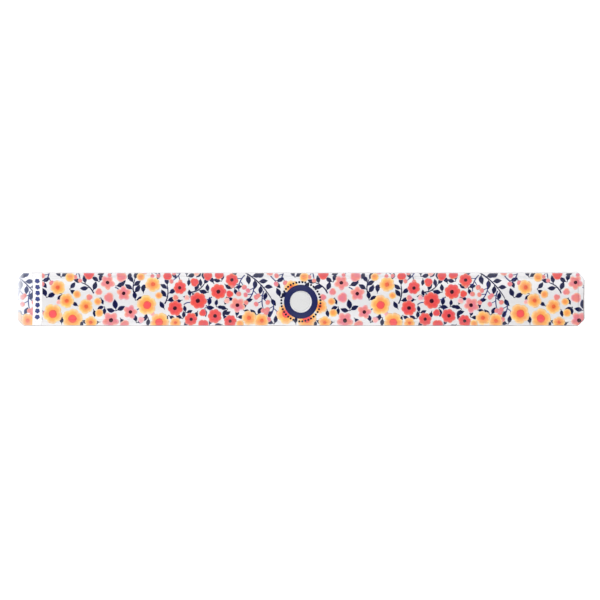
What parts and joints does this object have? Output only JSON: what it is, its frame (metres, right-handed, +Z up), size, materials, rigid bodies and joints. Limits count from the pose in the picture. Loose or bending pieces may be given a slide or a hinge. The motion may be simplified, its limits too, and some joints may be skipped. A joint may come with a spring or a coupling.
{
  "type": "slap bracelet with mosquito repellent patch",
  "caption": "Flat printed slap band: steel tape sealed between two films, shallow gutter section, round repellent patch in a ring at its middle.",
  "frame": {"origin": "middle of the band's length and width, on the surface that its convex back rests on", "axes": "+X along the band towards the end with the narrow weld, +Y across the band, +Z up from the back film to the printed face"},
  "size_m": [0.262, 0.025, 0.0031],
  "materials": {
    "back_film": "plain white soft PVC, satin",
    "spring_steel": "cold rolled spring steel",
    "face_film": "white soft PVC film with a many-coloured flower print, satin",
    "badge_ring": "navy soft PVC, satin",
    "repellent_patch": "pale grey nonwoven felt"
  },
  "bodies": {
    "root": {"back_film": "back_film", "spring_tape": "spring_steel", "face_film": "face_film", "badge_ring": "badge_ring", "repellent_patch": "repellent_patch"}
  },
  "joints": []
}
